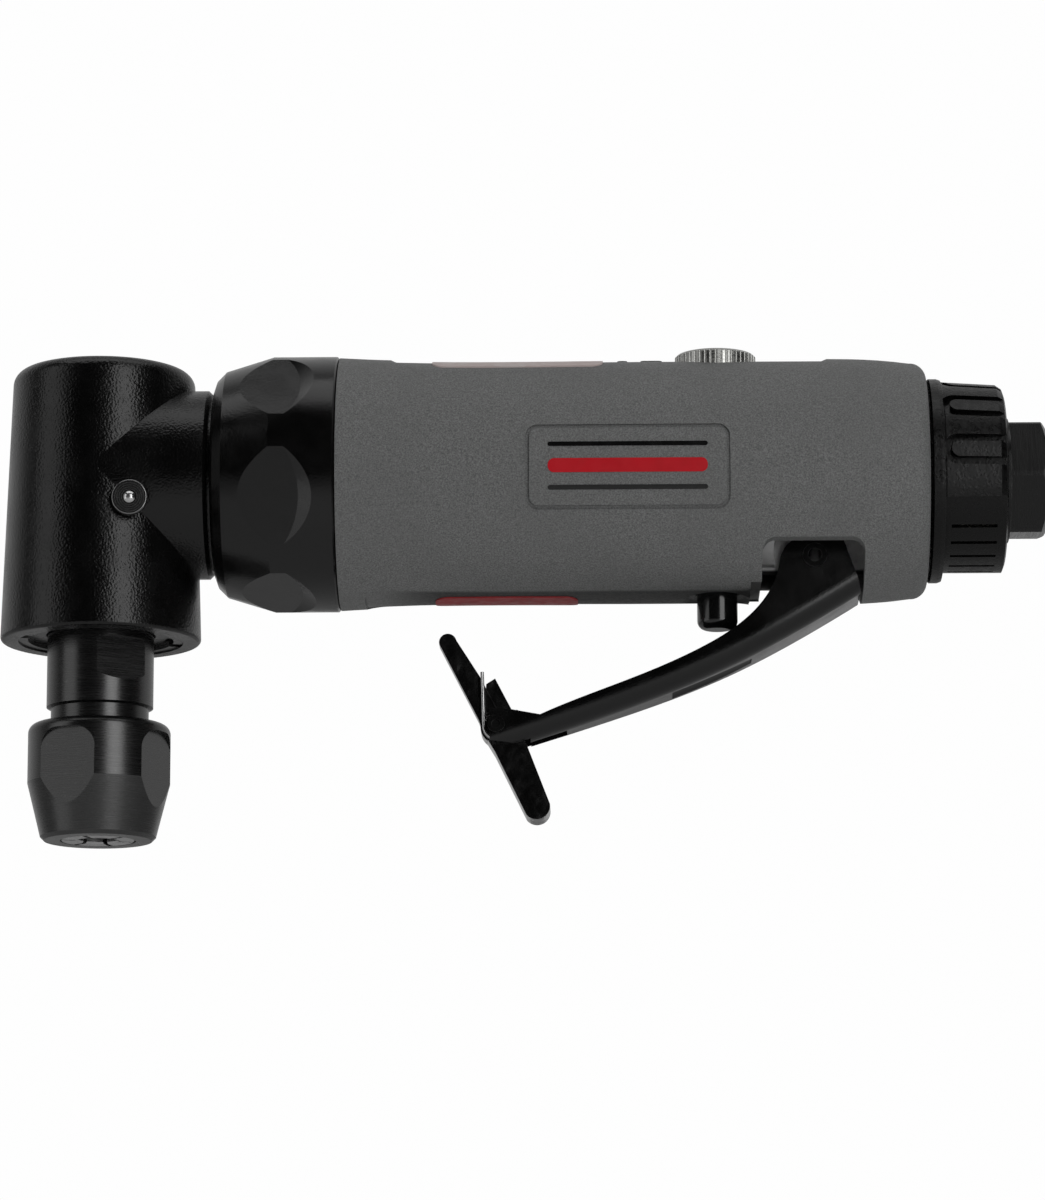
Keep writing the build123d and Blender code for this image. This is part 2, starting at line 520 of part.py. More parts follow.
def badge_bar(offset, half_height):
    """Thin horizontal inlay on the panel of the sleeve's side, above or below its middle."""
    middle = sum(PANEL_Z) / 2 + offset
    outline = side_panel(BADGE_X, (middle - half_height, middle + half_height), 0.9 * half_height)
    return skin(0, BADGE_THICKNESS) & outline


# ---------------------------------------------------------------- air motor


def end_plate(start, end, bearing_x):
    """Disc that closes the cylinder and carries a rotor bearing."""
    plate = tube_x(MOTOR_BORE_RADIUS - SEAT, 0, start, end)
    plate -= tube_x(ROTOR["outer"], 0, *bearing_x)
    return plate - tube_x(PLATE_HOLE_RADIUS, 0, start - 1, end + 1)


def front_end_plate():
    return end_plate(ROTOR_BEARINGS_X[0][0] - 0.3, CYLINDER_X[0], (0, ROTOR_BEARINGS_X[0][1]))


def rear_end_plate():
    """Rear end plate, with the dowel's hole and three ports that let the air in."""
    plate = end_plate(CYLINDER_X[1], ROTOR_BEARINGS_X[1][1], (ROTOR_BEARINGS_X[1][0], 99))
    plate -= dowel_hole(70, 99)
    for angle in (60, 90, 120):
        plate -= Rot(angle, 0, 0) * Pos(0, 0, ROTOR_RADIUS + 0.5) * tube_x(1.0, 0, 70, 99)
    return plate


def cylinder():
    body = tube_x(MOTOR_BORE_RADIUS - SEAT, 0, *CYLINDER_X)
    body -= Pos(0, 0, CYLINDER_OFFSET) * tube_x(CYLINDER_BORE, 0, CYLINDER_X[0] - 1, CYLINDER_X[1] + 1)
    return body - dowel_hole(CYLINDER_X[1] - 4, 99) - exhaust_ports()


def cylinder_pin():
    """Dowel that keeps the cylinder from turning in the housing."""
    return Pos(0, 0, DOWEL_Z) * tube_x(DOWEL_RADIUS, 0, CYLINDER_X[1] - 3.8, 91.5)


def rotor():
    """Slotted rotor, its two bearing seats and the hexagonal nose that drives the pinion."""
    seat, shoulder = ROTOR["bore"], ROTOR_SHOULDER_RADIUS
    front, rear = ROTOR_BEARINGS_X
    start, end = CYLINDER_X[0] + RUN, CYLINDER_X[1] - RUN
    body = turned_x(
        (front[0] - 0.2, 0), (front[0] - 0.2, seat), (front[1], seat), (front[1], shoulder),
        (start, shoulder), (start, ROTOR_RADIUS), (end, ROTOR_RADIUS), (end, shoulder),
        (rear[0], shoulder), (rear[0], seat), (rear[1], seat), (rear[1], 0))
    body += Pos(26, 0, 0) * Rot(0, 90, 0) * extrude(RegularPolygon(2.5, 6), 6)
    half_slot = VANE_THICKNESS / 2 + 0.03
    slot = block((start, end), (-half_slot, half_slot), (ROTOR_RADIUS - SLOT_DEPTH, 20))
    for step in range(VANE_COUNT):
        body -= Rot(360 / VANE_COUNT * step, 0, 0) * slot
    return body


def vanes():
    vane = block((CYLINDER_X[0] + 0.1, CYLINDER_X[1] - 0.1), (-VANE_THICKNESS / 2, VANE_THICKNESS / 2),
                 (ROTOR_RADIUS - SLOT_DEPTH + 0.2, ROTOR_RADIUS - 0.05))
    return [Rot(360 / VANE_COUNT * step, 0, 0) * vane for step in range(VANE_COUNT)]


# ---------------------------------------------------------------- valve and regulator


def valve_stem():
    """Button outside, necked stem inside, thin nose that lifts the valve disc."""
    stem = turned_z(
        (0, STEM_BOTTOM), (STEM_RADIUS, STEM_BOTTOM), (STEM_RADIUS, -14.6), (STEM_GROOVE_RADIUS, -14.6),
        (STEM_GROOVE_RADIUS, -13.0), (STEM_RADIUS, -13.0), (STEM_RADIUS, -11.0), (1.4, -11.0),
        (1.4, VALVE_SEAT_Z[1]), (0, VALVE_SEAT_Z[1]))
    stem = fillet(stem.edges().sort_by(Axis.Z)[0], 1.4)
    return Pos(VALVE_X, 0, 0) * stem


def stem_oring():
    """Ring that fills the stem's groove and just clears its wall."""
    return Pos(VALVE_X, 0, -13.8) * Torus(STEM_GROOVE_RADIUS + 0.44, 0.42)


def valve_bushing():
    return Pos(VALVE_X, 0, 0) * tube_z(
        VALVE_BORE_RADIUS - SEAT, STEM_RADIUS + RUN + 0.02, BUSHING_Z[0] + SEAT, BUSHING_Z[1])


def valve_seat():
    return Pos(VALVE_X, 0, 0) * tube_z(VALVE_BORE_RADIUS - SEAT, 2.2, *VALVE_SEAT_Z)


def valve_disc():
    low = VALVE_SEAT_Z[1] + 0.02
    return Pos(VALVE_X, 0, 0) * turned_z((0, low), (3.6, low), (3.6, low + 1.8), (1.5, low + 2.2),
                                         (1.5, low + 4.5), (0, low + 4.5))


def valve_spring():
    return Pos(VALVE_X, 0, 0) * coil(2.3, 0.35, 5.1, 13.4, 5)


def air_regulator():
    """Screwdriver-slotted knob with a knurled rim, turning in the housing on its O-ring."""
    top, groove = REGULATOR_TOP, REGULATOR_RADIUS - 0.8
    knob = turned_z(
        (0, 14.0), (0, top), (REGULATOR_KNOB_RADIUS - 0.4, top), (REGULATOR_KNOB_RADIUS, top - 0.4),
        (REGULATOR_KNOB_RADIUS, SHELL_RADIUS + 0.1), (REGULATOR_RADIUS, SHELL_RADIUS + 0.1),
        (REGULATOR_RADIUS, 15.2), (groove, 15.2), (groove, 14.0), (REGULATOR_RADIUS, 14.0),
        (REGULATOR_RADIUS, 12.2), (3.4, 12.2), (3.4, 14.0))
    knob -= block((-9, 9), (-0.7, 0.7), (top - 1.1, top + 1))
    knurl = Pos(REGULATOR_KNOB_RADIUS + 0.1, 0, SHELL_RADIUS) * Cylinder(0.25, 10)
    for step in range(KNURL_COUNT):
        knob -= Rot(0, 0, 360 / KNURL_COUNT * step) * knurl
    return Pos(VALVE_X, 0, 0) * knob


def regulator_oring():
    return Pos(VALVE_X, 0, 14.6) * Torus(REGULATOR_RADIUS - 0.38, 0.4)


def regulator_clip():
    clip = tube_z(REGULATOR_RADIUS + 0.6, REGULATOR_RADIUS + 0.08, 16.0, 16.6)
    return Pos(VALVE_X, 0, 0) * (clip - block((0, 9), (-2, 2), (15, 18)))


# ---------------------------------------------------------------- levers


def lever_web(rise):
    """Curve of the web's underside, from heel to tip, raised by a height."""
    return Spline(*[(x, 0, z + rise) for x, z in LEVER_WEB])


def lever_profile():
    """Side view of the lever's sheet: flange edge above, rounded web below."""
    top = Spline((69.5, 0, -38.0), (83.3, 0, -32.7), (95.0, 0, -27.7), (101.7, 0, -23.4),
                 (105.5, 0, -19.0), (107.1, 0, -14.6))
    crown = Spline((107.1, 0, -14.6), (109.3, 0, -10.9), (112.7, 0, -9.9), (117.2, 0, -10.9))
    web = lever_web(0)
    heel = Polyline((117.2, 0, -10.9), (119.4, 0, -17.0), web @ 0)
    tip = Polyline(web @ 1, (SAFETY_X - 1, 0, -42.0), (SAFETY_X - 1, 0, -37.0), (SAFETY_X + 1, 0, -36.9),
                   (69.5, 0, -38.0))
    return [top, crown, heel, web, tip]


def lever_channel():
    """Side view of the space between the flanges, open above."""
    floor = lever_web(SHEET_RISE)
    heel, tip = floor @ 0, floor @ 1
    sides = Polyline(tip, (tip.X, 0, -50), (50, 0, -50), (50, 0, 0), (121, 0, 0), (121, 0, heel.Z), heel)
    return [floor, sides]


def lever_plan(inset):
    """Top view of the lever: tapering towards its tip, parallel at the pivot."""
    wide, narrow = LEVER_HALF_WIDTH - inset, LEVER_TIP_HALF_WIDTH - inset
    side = [(55, narrow), (66, narrow), (103, wide - 0.15), (125, wide)]
    far = Spline(*side, tangents=((1, 0), (1, 0)))
    near = Spline(*[(x, -y) for x, y in reversed(side)], tangents=((-1, 0), (-1, 0)))
    ends = [Line((125, wide), (125, -wide)), Line((55, -narrow), (55, narrow))]
    return extrude(Pos(0, 0, -60) * make_face(Curve() + [far, near, *ends]), 60)


def dimple():
    """Round bar laid along the web's underside, sunk into it by the dimple's depth."""
    (rear_x, rear_z), (front_x, front_z) = LEVER_WEB[2:4]
    slope = (rear_z - front_z) / (rear_x - front_x)
    start, end = (Vector(x, 0, front_z + slope * (x - front_x)) for x in DIMPLE_X)
    upright = (end - start).cross(Vector(0, 1, 0)).normalized()
    sink = upright * (DIMPLE_DEPTH - DIMPLE_RADIUS)
    return bar(start + sink, end + sink, DIMPLE_RADIUS)


def throttle_lever():
    lever = prism_y(20, *lever_profile()) & lever_plan(0)
    web = lever.faces().filter_by(lambda face: face.normal_at().Z < -0.5).sort_by(SortBy.AREA)[-1]
    long_edges = [edge for edge in web.edges() if abs(edge.tangent_at(0.5).X) > 0.6]
    lever = fillet(long_edges, WEB_EDGE_RADIUS)
    nose = rod_y(2.6, SAFETY_X, SAFETY_Z, *THROUGH)
    lever = lever - (block((55, SAFETY_X), THROUGH, (-60, 0)) - nose)
    lever -= prism_y(20, *lever_channel()) & lever_plan(SHEET)
    lever -= block((50, 68), THROUGH, (-60, -30)) & lever_plan(SHEET)  # the channel is open at its tip
    lever -= dimple()
    lever -= block((67, 73.7), (-2.2, 3.0), (-50, -38))  # slot in the web beside the tip
    lever -= rod_y(LEVER_PIN_RADIUS + RUN, PIVOT_X, PIVOT_Z, *THROUGH)
    lever -= rod_y(SAFETY_PIN_RADIUS + SEAT, SAFETY_X, SAFETY_Z, *THROUGH)
    return lever


def lever_pin():
    length = LEVER_HALF_WIDTH + 0.1
    pin = rod_y(LEVER_PIN_RADIUS, PIVOT_X, PIVOT_Z, -length, length)
    return pin - rod_y(LEVER_PIN_BORE, PIVOT_X, PIVOT_Z, *THROUGH)


def safety_pin():
    """Pin with a low round head at each side of the lever's tip."""
    edge = LEVER_TIP_HALF_WIDTH + 0.05
    pin = rod_y(SAFETY_PIN_RADIUS, SAFETY_X, SAFETY_Z, -edge, edge)
    for side in (-1, 1):
        limits = sorted((side * edge, side * (edge + 0.55)))
        pin += rod_y(SAFETY_PIN_HEAD, SAFETY_X, SAFETY_Z, *limits)
    return pin - rod_y(0.7, SAFETY_X, SAFETY_Z, -edge - 1, -edge - 0.25)


def safety_arm_profile():
    tip = ThreePointArc((53.6, 0, -26.2), (54.6, 0, -24.6), (56.3, 0, -25.6))
    return [tip, Polyline((56.3, 0, -25.6), (60.0, 0, -31.4), (63.6, 0, -38.4), (60.6, 0, -40.6),
                          (59.8, 0, -38.3), (53.6, 0, -26.2))]


def safety_tab_profile():
    tip = ThreePointArc((67.3, 0, -53.6), (69.2, 0, -54.3), (71.0, 0, -51.9))
    return [tip, Polyline((71.0, 0, -51.9), (67.5, 0, -42.8), (65.9, 0, -39.6), (60.6, 0, -40.6),
                          (62.4, 0, -43.6), (67.3, 0, -53.6))]


def safety_lever():
    """Locking lever: arm that stops against the grip, lug, hub on the pin and finger tab."""
    hub_radius, hub_low, hub_high = 2.5, -1.7, 3.3
    arm = prism_y(2.0, *safety_arm_profile())
    tab = prism_y(3.3, *safety_tab_profile())
    hub = rod_y(hub_radius, SAFETY_X, SAFETY_Z, hub_low, hub_high)
    lug_outline = Polyline((61.0, 0, -32.6), (62.4, 0, -31.7), (66.0, 0, -38.6), (64.8, 0, -40.6),
                           (60.6, 0, -39.6), close=True)
    lug = prism_y(20, lug_outline) & block((50, 80), (hub_low, hub_high), (-60, 0))
    lever = arm + tab + hub + lug
    lever -= rod_y(hub_radius + 0.1, SAFETY_X, SAFETY_Z, -3.4, hub_low)  # room for the spring's turns
    return lever - rod_y(SAFETY_PIN_RADIUS + RUN, SAFETY_X, SAFETY_Z, *THROUGH)


def safety_spring():
    """Torsion spring on the pin, with one leg against the arm and a short one in the channel."""
    wire, radius, start = 0.28, 1.9, -3.1
    turns = Pos(SAFETY_X, start, SAFETY_Z) * Rot(-90, 0, 0) * coil(radius, wire, 0, 1.0, 1.5)
    leg = bar((SAFETY_X - radius, start, SAFETY_Z), (60.4, start + 0.1, -30.9), wire)
    end = start + 1.0
    tail = bar((SAFETY_X + radius, end, SAFETY_Z), (SAFETY_X + 3.4, end, SAFETY_Z + 2.6), wire)
    return turns + leg + tail


# ---------------------------------------------------------------- inlet and exhaust


def inlet_bushing():
    barrel = turned_x(
        (120.0, 4.5), (120.0, 8.0 - SEAT), (SHELL_END + 0.1, 8.0 - SEAT), (SHELL_END + 0.1, JOURNAL_RADIUS),
        (133.4, JOURNAL_RADIUS), (133.4, 8.2), (134.7, 8.2), (134.7, JOURNAL_RADIUS),
        (DEFLECTOR_X[1] + 0.1, JOURNAL_RADIUS), (DEFLECTOR_X[1] + 0.1, 9.9), (HEX_FRONT, 9.9),
        (HEX_FRONT, INLET_RADIUS + 1), (HEX_BACK - 1, INLET_RADIUS), (HEX_BACK - INLET_DEPTH, INLET_RADIUS),
        (HEX_BACK - INLET_DEPTH, 5.3), (134.0, 5.3), (134.0, 4.5))
    section = Plane.YZ * RegularPolygon(HEX_FLATS / 2, 6, major_radius=False)
    hexagon = around_x(HEX_CORNER_ANGLE) * extrude(section, HEX_BACK - HEX_FRONT)
    hexagon = Pos(HEX_FRONT, 0, 0) * hexagon
    rounding = turned_x((HEX_FRONT, 0), (HEX_FRONT, HEX_CORNER_RADIUS), (HEX_BACK - 0.9, HEX_CORNER_RADIUS),
                        (HEX_BACK, HEX_CORNER_RADIUS - 1.5), (HEX_BACK, 0))
    mouth = INLET_RADIUS + 0.3
    bore = turned_x((HEX_FRONT - 1, 0), (HEX_FRONT - 1, INLET_RADIUS), (HEX_BACK - 0.3, INLET_RADIUS),
                    (HEX_BACK, mouth), (HEX_BACK + 1, mouth), (HEX_BACK + 1, 0))
    return barrel + (hexagon & rounding) - bore


def inlet_screen():
    screen = tube_x(5.3 - SEAT, 0, 134.0, 134.6)
    for ring, count in ((0, 1), (1.5, 6), (3.0, 12), (4.3, 16)):
        for step in range(count):
            angle = math.tau * step / count
            hole = Pos(0, ring * math.cos(angle), ring * math.sin(angle)) * tube_x(0.5, 0, 133, 136)
            screen -= hole
    return screen


def deflector_oring():
    return Pos(134.05, 0, 0) * Rot(0, 90, 0) * Torus(JOURNAL_RADIUS - 0.6, 0.58)


def sector(inner, outer, start, end, half_angle):
    """Sector of a tube about X, centred on the -Y side."""
    reach = 2 * outer
    across, up = reach * math.cos(math.radians(half_angle)), reach * math.sin(math.radians(half_angle))
    wedge = Polyline((start, 0, 0), (start, -across, up), (start, -across, -up), close=True)
    return extrude(make_face(wedge), end - start, dir=(1, 0, 0)) & tube_x(outer, inner, start, end)


def exhaust_deflector():
    """Collar that turns on the inlet's journal: smooth slotted panel below, finger grips elsewhere."""
    front, back = DEFLECTOR_X
    collar, panel = DEFLECTOR_RADIUS, EXHAUST_PANEL_RADIUS
    body = turned_x(
        (front, 13.9), (front, collar - 0.3), (front + 0.3, collar), (front + 1.5, collar),
        (front + 2.1, collar - 0.2), (front + 2.3, collar - 0.5), (back - 1.2, 15.2), (back - 0.3, 14.6),
        (back, 13.8),
        (back, JOURNAL_RADIUS + RUN), (front + 1.5, JOURNAL_RADIUS + RUN), (front + 1.5, 10.6),
        (back - 1.8, 10.6), (back - 1.8, 13.2), (front + 3, 13.7))
    body -= around_x(PANEL_ANGLE) * sector(panel, 20, front + 2.1, back + 1, PANEL_HALF_ANGLE)
    for step in range(SLIT_COUNT):
        angle = PANEL_ANGLE + SLIT_PITCH * (step - (SLIT_COUNT - 1) / 2)
        body -= around_x(angle) * block((front + 3.1, back - 1.7), (-20, -12), (-0.3, 0.3))
    # finger grips: U-shaped grooves open to the rear round raised tongues
    outer = Pos(front + 12, 0) * RectangleRounded(20, 5.0, 2.0)
    inner = Pos(front + 13.1, 0) * RectangleRounded(20, 2.5, 1.2)
    groove = extrude(Plane.XZ * (outer - inner), 20) - tube_x(panel, 0, front - 1, back + 1)
    for step in range(TONGUE_COUNT):
        body -= around_x(PANEL_ANGLE + 180 + TONGUE_PITCH * (step - (TONGUE_COUNT - 1) / 2)) * groove
    return body


def muffler_felt():
    return tube_x(13.1, 10.7, DEFLECTOR_X[0] + 4.5, DEFLECTOR_X[1] - 2)


# ---------------------------------------------------------------- write every node


def main():
    os.makedirs("parts", exist_ok=True)
    along_x = Rot(0, 90, 0)

    write("angle_head", angle_head())
    write("grease_fitting", grease_fitting())
    write("grease_ball", grease_ball())
    write("grease_spring", grease_spring())
    write("bearing_cap", bearing_cap())
    write("spindle", spindle())
    write("spindle_gear", spindle_gear())
    write("pinion_shaft", pinion_shaft())
    write("pinion_spacer", pinion_spacer())
    write("head_snap_ring", snap_ring(PINION["outer"], 0.9, PINION_BEARINGS_X[1][1] + 0.1))
    write("collet", collet())
    write("collet_nut", collet_nut())
    write("clamp_ring", clamp_ring())
    write("motor_housing", motor_housing())
    write("grip_sleeve", grip_sleeve())
    write("top_label", label(TOP_LABEL_X, TOP_LABEL_HALF_WIDTH, 1))
    write("bottom_label", label(BOTTOM_LABEL_X, BOTTOM_LABEL_HALF_WIDTH, -1))
    write("badge_stripe", badge_bar(0, STRIPE_HALF_HEIGHT))
    write("badge_lines", *[badge_bar(side * LINE_OFFSET, LINE_HALF_HEIGHT) for side in (-1, 1)])

    write_bearings("spindle_lower_bearing", [Pos(0, 0, LOWER_BEARING_Z[0])], 6.0, SPINDLE_LOWER)
    write_bearings("spindle_upper_bearing", [Pos(0, 0, UPPER_BEARING_Z[0])], 5.0, SPINDLE_UPPER)
    write_bearings("pinion_bearing", [Pos(x[0], 0, 0) * along_x for x in PINION_BEARINGS_X], 6.0, PINION)
    write_bearings("rotor_bearing", [Pos(x[0], 0, 0) * along_x for x in ROTOR_BEARINGS_X], 6.0, ROTOR)

    write("front_end_plate", front_end_plate())
    write("rear_end_plate", rear_end_plate())
    write("cylinder", cylinder())
    write("cylinder_pin", cylinder_pin())
    write("rotor", rotor())
    write("vanes", *vanes())

    write("valve_stem", valve_stem())
    write("stem_oring", stem_oring())
    write("valve_bushing", valve_bushing())
    write("valve_seat", valve_seat())
    write("valve_disc", valve_disc())
    write("valve_spring", valve_spring())
    write("air_regulator", air_regulator())
    write("regulator_oring", regulator_oring())
    write("regulator_clip", regulator_clip())

    write("throttle_lever", throttle_lever())
    write("lever_pin", lever_pin())
    write("safety_lever", safety_lever())
    write("safety_pin", safety_pin())
    write("safety_spring", safety_spring())

    write("inlet_bushing", inlet_bushing())
    write("inlet_screen", inlet_screen())
    write("deflector_oring", deflector_oring())
    write("exhaust_deflector", exhaust_deflector())
    write("muffler_felt", muffler_felt())


main()
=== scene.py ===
import bpy
import math
from mathutils import Euler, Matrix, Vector

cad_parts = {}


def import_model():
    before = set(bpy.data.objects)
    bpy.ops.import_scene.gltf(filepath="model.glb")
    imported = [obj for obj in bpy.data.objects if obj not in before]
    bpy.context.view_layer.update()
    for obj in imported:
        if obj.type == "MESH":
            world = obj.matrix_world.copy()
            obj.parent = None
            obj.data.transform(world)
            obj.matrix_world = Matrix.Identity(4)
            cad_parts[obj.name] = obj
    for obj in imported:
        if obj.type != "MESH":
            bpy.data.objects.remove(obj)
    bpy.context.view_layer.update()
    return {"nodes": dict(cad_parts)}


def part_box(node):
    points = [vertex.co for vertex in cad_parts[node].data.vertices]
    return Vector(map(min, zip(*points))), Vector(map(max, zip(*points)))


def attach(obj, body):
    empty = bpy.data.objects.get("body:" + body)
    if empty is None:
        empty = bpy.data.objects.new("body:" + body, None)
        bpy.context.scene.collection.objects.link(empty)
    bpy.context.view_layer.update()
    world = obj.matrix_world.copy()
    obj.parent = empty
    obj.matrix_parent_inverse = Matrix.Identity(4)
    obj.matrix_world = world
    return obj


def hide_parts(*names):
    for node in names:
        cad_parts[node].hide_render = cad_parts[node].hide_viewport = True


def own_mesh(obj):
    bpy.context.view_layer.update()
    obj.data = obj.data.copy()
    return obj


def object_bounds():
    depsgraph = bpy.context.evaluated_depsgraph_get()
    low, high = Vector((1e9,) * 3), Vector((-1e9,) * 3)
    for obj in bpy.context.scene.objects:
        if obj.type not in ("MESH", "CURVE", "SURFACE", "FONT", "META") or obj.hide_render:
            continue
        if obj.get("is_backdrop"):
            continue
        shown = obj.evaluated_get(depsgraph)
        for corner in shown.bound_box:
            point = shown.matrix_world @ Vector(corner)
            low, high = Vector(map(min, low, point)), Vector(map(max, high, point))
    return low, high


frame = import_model()

# Right-angle air die grinder: materials, small surface detail, light and camera.
# Lengths are metres in the shared frame. The motor's axis is parallel to X at AXIS_HEIGHT.

MM = 0.001
X, Y, Z = range(3)
NODES = frame["nodes"]
HOUSING_LOW, HOUSING_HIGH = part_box("motor_housing")
AXIS_HEIGHT = (HOUSING_LOW.z + HOUSING_HIGH.z) / 2


def grey(level):
    return (level, level, level)


def scaled(values, factor):
    return [factor * value for value in values]


# ---------------------------------------------------------------- material helper

GRAIN_SMOOTHNESS = 0.6
LATHE_PITCH = 0.10 * MM
LATHE_STRETCH = 0.02  # the marks change this much slower round their axis than along it
RING_PERIOD = 0.314  # length of one ring of the wave texture at scale 1
RING_DISTORTION = 0.6
NOISE_LOW, NOISE_HIGH = 0.3, 0.7  # levels between which most of the noise lies
LEAST_ROUGHNESS = 0.03
EDGE_STARTS, EDGE_FULL = 0.97, 0.80  # dot product of the rounded normal and the real one
WEAR_PATCH = 1.1 * MM
WEAR_PATCH_LOW, WEAR_PATCH_HIGH = 0.42, 0.62
WEAR_LEAST, WEAR_MOST = 0.15, 1.0


class Finish:
    """A Principled material whose patterns are laid out in the shared frame."""

    def __init__(self, name, color, roughness, metallic=0.0, coat=0.0, coat_roughness=0.2, shine=0.5):
        self.material = bpy.data.materials.new(name)
        self.material.use_nodes = True
        self.nodes = self.material.node_tree.nodes
        self.links = self.material.node_tree.links
        self.shader = self.nodes["Principled BSDF"]
        self.roughness = roughness
        self.shader.inputs["Base Color"].default_value = (*color, 1.0)
        self.shader.inputs["Roughness"].default_value = roughness
        self.shader.inputs["Metallic"].default_value = metallic
        self.shader.inputs["Specular IOR Level"].default_value = shine
        self.shader.inputs["Coat Weight"].default_value = coat
        self.shader.inputs["Coat Roughness"].default_value = coat_roughness
        self.place = self.add("ShaderNodeTexCoord").outputs["Object"]
        self.last_normal = None

    def add(self, kind, **settings):
        node = self.nodes.new(kind)
        for key, value in settings.items():
            setattr(node, key, value)
        return node

    def join(self, output, socket):
        self.links.new(output, socket)

    def stretched(self, scale):
        """Frame coordinates stretched per axis."""
        mapping = self.add("ShaderNodeMapping")
        mapping.inputs["Scale"].default_value = scale
        self.join(self.place, mapping.inputs["Vector"])
        return mapping.outputs["Vector"]

    def noise(self, size, detail=3.0, place=None):
        """Noise whose blobs are about one size across, in metres."""
        node = self.add("ShaderNodeTexNoise")
        node.inputs["Scale"].default_value = 1 / size
        node.inputs["Detail"].default_value = detail
        self.join(place or self.place, node.inputs["Vector"])
        return node.outputs["Fac"]

    def grains(self, size):
        """Rounded grains, about one size across."""
        node = self.add("ShaderNodeTexVoronoi", feature="SMOOTH_F1")
        node.inputs["Scale"].default_value = 1 / size
        node.inputs["Smoothness"].default_value = GRAIN_SMOOTHNESS
        self.join(self.place, node.inputs["Vector"])
        return node.outputs["Distance"]

    def lathe_lines(self, axis):
        """Fine turning marks: noise that changes quickly along one axis and slowly round it."""
        scale = [LATHE_STRETCH] * 3
        scale[axis] = 1.0
        return self.noise(LATHE_PITCH, detail=4.0, place=self.stretched(scale))

    def turned_rings(self, centre, pitch):
        """Rings round a Y axis through the centre."""
        mapping = self.add("ShaderNodeMapping")
        mapping.inputs["Location"].default_value = scaled(centre, -1)
        self.join(self.place, mapping.inputs["Vector"])
        wave = self.add("ShaderNodeTexWave", wave_type="RINGS", rings_direction="Y")
        wave.inputs["Scale"].default_value = RING_PERIOD / pitch
        wave.inputs["Distortion"].default_value = RING_DISTORTION
        self.join(mapping.outputs["Vector"], wave.inputs["Vector"])
        return wave.outputs["Fac"]

    def curve(self, value, low, high, to_low, to_high):
        """Smooth step of a value between two levels."""
        node = self.add("ShaderNodeMapRange", interpolation_type="SMOOTHSTEP")
        node.inputs["From Min"].default_value = low
        node.inputs["From Max"].default_value = high
        node.inputs["To Min"].default_value = to_low
        node.inputs["To Max"].default_value = to_high
        self.join(value, node.inputs["Value"])
        return node.outputs["Result"]

    def ramp(self, axis, start, end):
        """0 to 1 between two places along one axis of the frame."""
        parts = self.add("ShaderNodeSeparateXYZ")
        self.join(self.place, parts.inputs["Vector"])
        return self.curve(parts.outputs[axis], start, end, 0.0, 1.0)

    def product(self, *values):
        """Masks multiplied together."""
        result = values[0]
        for value in values[1:]:
            node = self.add("ShaderNodeMath", operation="MULTIPLY")
            self.join(result, node.inputs[0])
            self.join(value, node.inputs[1])
            result = node.outputs["Value"]
        return result

    def bump(self, height, depth, strength):
        """Relief of a given depth; several can be stacked."""
        node = self.add("ShaderNodeBump")
        node.inputs["Distance"].default_value = depth
        node.inputs["Strength"].default_value = strength
        self.join(height, node.inputs["Height"])
        if self.last_normal:
            self.join(self.last_normal, node.inputs["Normal"])
        self.last_normal = node.outputs["Normal"]
        self.join(self.last_normal, self.shader.inputs["Normal"])
        return self

    def vary_roughness(self, value, spread):
        low = max(self.roughness - spread, LEAST_ROUGHNESS)
        high = min(self.roughness + spread, 1.0)
        self.join(self.curve(value, NOISE_LOW, NOISE_HIGH, low, high), self.shader.inputs["Roughness"])

    def tint(self, mask, color):
        """Lay a second colour over the base where the mask is 1."""
        mix = self.add("ShaderNodeMix", data_type="RGBA")
        base = self.shader.inputs["Base Color"]
        if base.is_linked:
            self.join(base.links[0].from_socket, mix.inputs["A"])
        else:
            mix.inputs["A"].default_value = base.default_value
        mix.inputs["B"].default_value = (*color, 1.0)
        self.join(mask, mix.inputs["Factor"])
        self.join(mix.outputs["Result"], base)

    def tint_where(self, value, start, full, amount, color):
        """Lay an amount of a second colour where a pattern goes from the start level to the full one."""
        self.tint(self.curve(value, start, full, 0.0, amount), color)

    def worn_edges(self, radius, color, amount):
        """Lighter paint on the outer edges, broken up by noise."""
        rounded = self.add("ShaderNodeBevel", samples=4)
        rounded.inputs["Radius"].default_value = radius
        sharp = self.add("ShaderNodeNewGeometry")
        dot = self.add("ShaderNodeVectorMath", operation="DOT_PRODUCT")
        self.join(rounded.outputs["Normal"], dot.inputs[0])
        self.join(sharp.outputs["Normal"], dot.inputs[1])
        edge = self.curve(dot.outputs["Value"], EDGE_STARTS, EDGE_FULL, 0.0, amount)
        patches = self.noise(WEAR_PATCH, detail=4.0)
        broken = self.curve(patches, WEAR_PATCH_LOW, WEAR_PATCH_HIGH, WEAR_LEAST, WEAR_MOST)
        self.tint(self.product(edge, broken), color)


# ---------------------------------------------------------------- materials

# Depths below the motor's axis where a band of painted shade begins and where it is fully dark.
CASTING_PAINTED_SHADE_DEPTHS = (15.2 * MM, 15.7 * MM)
GRIP_PAINTED_SHADE_DEPTHS = (18.3 * MM, 18.6 * MM)
# Places along the grip where the painted shade on its lower band fades in and out.
GRIP_PAINTED_SHADE_FRONT = (42 * MM, 54 * MM)
GRIP_PAINTED_SHADE_BACK = (106 * MM, 103.5 * MM)


def heights(depths):
    """Heights in the frame of depths below the motor's axis."""
    return [AXIS_HEIGHT - depth for depth in depths]


def pebbled_paint(name="head_black"):
    finish = Finish(name, grey(0.002), roughness=0.25, shine=0.45)
    finish.vary_roughness(finish.noise(5 * MM), spread=0.04)
    finish.worn_edges(0.35 * MM, grey(0.02), amount=0.4)
    finish.bump(finish.noise(0.34 * MM, detail=0.0), depth=0.052 * MM, strength=1.0)
    return finish.bump(finish.noise(0.18 * MM, detail=1.0), depth=0.018 * MM, strength=0.8)


